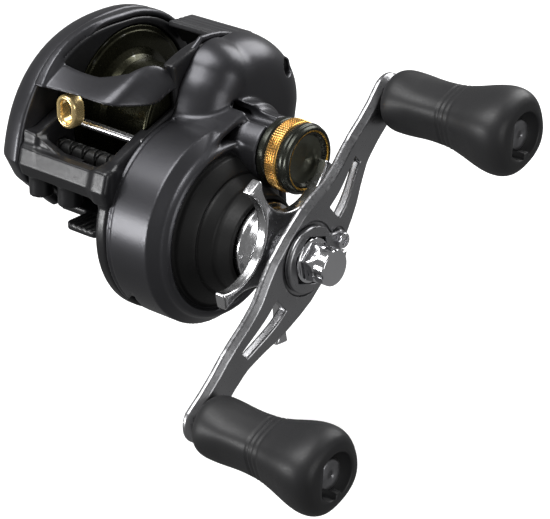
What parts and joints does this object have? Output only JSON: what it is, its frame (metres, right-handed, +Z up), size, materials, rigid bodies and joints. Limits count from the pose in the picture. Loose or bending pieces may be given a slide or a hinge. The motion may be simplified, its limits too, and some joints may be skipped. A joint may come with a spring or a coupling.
{
  "type": "baitcasting reel",
  "caption": "Low-profile baitcasting fishing reel with a crank handle, star drag, cast-control knob, line guide and thumb bar.",
  "frame": {"origin": "middle of the reel foot's flat underside, where it rests on the rod seat", "axes": "+X along the spool towards the handle, -Y forward to the line guide, +Z up away from the rod"},
  "size_m": [0.1316, 0.1002, 0.0942],
  "materials": {
    "frame_black": "satin",
    "cover_charcoal": "satin metallic",
    "handle_silver": "brushed",
    "bright_metal": "polished",
    "steel": "turned",
    "brass": "machined",
    "gold_anodised": "anodised",
    "spool_olive": "anodised",
    "knob_rubber": "matte",
    "guide_black": "matte",
    "guide_gold": "polished",
    "plastic_grey": "matte",
    "carbon": "matte"
  },
  "bodies": {
    "reel_body": {"main_frame": "frame_black", "hood": "cover_charcoal", "gear_side_cover": "cover_charcoal", "palm_side_plate": "cover_charcoal", "brake_race": "steel", "spool_bearing_palm": "steel", "spool_bearing_gear": "steel", "pinion_bearing": "steel", "roller_clutch": "steel", "shaft_bearing_outer": "steel", "shaft_bearing_inner": "steel", "worm_bushings": "plastic_grey", "guide_rod": "steel", "gear_cover_screws": "steel", "clutch_spring": "steel"},
    "lock": {"side_plate_lock": "frame_black"},
    "dial": {"brake_dial": "frame_black"},
    "cast_control": {"tension_knob": "gold_anodised", "tension_spacer": "plastic_grey"},
    "spool_group": {"spool": "spool_olive", "spool_shaft": "steel", "spool_pin": "steel", "brake_hub": "plastic_grey", "brake_weights": "plastic_grey"},
    "yoke": {"clutch_yoke": "plastic_grey", "yoke_springs": "steel"},
    "pinion": {"pinion_gear": "brass"},
    "thumb_clutch": {"thumb_bar": "guide_black", "clutch_cam": "steel"},
    "crank": {"drive_shaft": "steel", "level_wind_drive_gear": "plastic_grey", "ratchet_plate": "steel", "drive_gear": "brass", "drag_discs": "carbon", "drag_plates": "steel", "clutch_tube": "steel", "spring_washers": "steel", "handle_spacer": "steel", "handle_arm": "handle_silver", "handle_nut": "bright_metal", "nut_retainer": "handle_silver", "retainer_screw": "bright_metal", "knob_post_top": "steel", "knob_post_bottom": "steel"},
    "star": {"star_drag": "bright_metal"},
    "knob_top": {"knob_grip_top": "knob_rubber", "knob_cap_top": "handle_silver", "knob_bushes_top": "plastic_grey"},
    "knob_bottom": {"knob_grip_bottom": "knob_rubber", "knob_cap_bottom": "handle_silver", "knob_bushes_bottom": "plastic_grey"},
    "worm": {"worm_shaft": "steel", "worm_gear": "plastic_grey"},
    "idler": {"idler_gear": "plastic_grey"},
    "guide": {"line_guide": "guide_black", "guide_ring": "guide_gold", "guide_pawl": "steel", "pawl_cap": "steel"}
  },
  "joints": [
    {"name": "crank_turn", "type": "hinge", "parent": "reel_body", "child": "crank", "pos_m": [0.06, -0.01, 0.0045], "axis": [1, 0, 0], "continuous": true},
    {"name": "spool_spin", "type": "hinge", "parent": "reel_body", "child": "spool_group", "pos_m": [0, 0.00329, 0.02536], "axis": [1, 0, 0], "continuous": true},
    {"name": "thumb_press", "type": "hinge", "parent": "reel_body", "child": "thumb_clutch", "pos_m": [0, 0.00329, 0.02536], "axis": [-1, 0, 0], "range_deg": [0, 6], "stiffness_Nm_per_rad": 0.1, "springref_deg": -2.86},
    {"name": "yoke_slide", "type": "slide", "parent": "reel_body", "child": "yoke", "axis": [1, 0, 0], "range_m": [0, 0.0017]},
    {"name": "pinion_spin", "type": "hinge", "parent": "yoke", "child": "pinion", "pos_m": [0.025, 0.00329, 0.02536], "axis": [1, 0, 0], "continuous": true},
    {"name": "star_turn", "type": "hinge", "parent": "crank", "child": "star", "pos_m": [0.055, -0.01, 0.0045], "axis": [1, 0, 0], "range_deg": [-360, 360]},
    {"name": "knob_top_spin", "type": "hinge", "parent": "crank", "child": "knob_top", "pos_m": [0.084, 0.02831, 0.03816], "axis": [1, 0, 0], "continuous": true},
    {"name": "knob_bottom_spin", "type": "hinge", "parent": "crank", "child": "knob_bottom", "pos_m": [0.084, -0.04831, -0.02916], "axis": [1, 0, 0], "continuous": true},
    {"name": "cast_control_turn", "type": "hinge", "parent": "reel_body", "child": "cast_control", "pos_m": [0.048, 0.00329, 0.02536], "axis": [1, 0, 0], "range_deg": [-360, 360]},
    {"name": "dial_turn", "type": "hinge", "parent": "reel_body", "child": "dial", "pos_m": [-0.026, 0.00329, 0.02536], "axis": [-1, 0, 0], "range_deg": [0, 300]},
    {"name": "lock_turn", "type": "hinge", "parent": "reel_body", "child": "lock", "pos_m": [-0.024, -0.021, 0.019], "axis": [-1, 0, 0], "range_deg": [0, 180]},
    {"name": "worm_spin", "type": "hinge", "parent": "reel_body", "child": "worm", "pos_m": [0, -0.0243, 0.02055], "axis": [1, 0, 0], "continuous": true},
    {"name": "idler_spin", "type": "hinge", "parent": "reel_body", "child": "idler", "pos_m": [0.018, -0.01748, 0.0129], "axis": [1, 0, 0], "continuous": true},
    {"name": "guide_travel", "type": "slide", "parent": "reel_body", "child": "guide", "axis": [1, 0, 0], "range_m": [-0.0009, 0.0133]}
  ],
  "couplings": [
    {"joint": "spool_spin", "follows": "crank_turn", "ratio": -4.7059},
    {"joint": "pinion_spin", "follows": "crank_turn", "ratio": -4.7059},
    {"joint": "worm_spin", "follows": "crank_turn", "ratio": 1.25},
    {"joint": "idler_spin", "follows": "crank_turn", "ratio": -0.8},
    {"joint": "yoke_slide", "follows": "thumb_press", "m_per_rad": 0.0152}
  ]
}
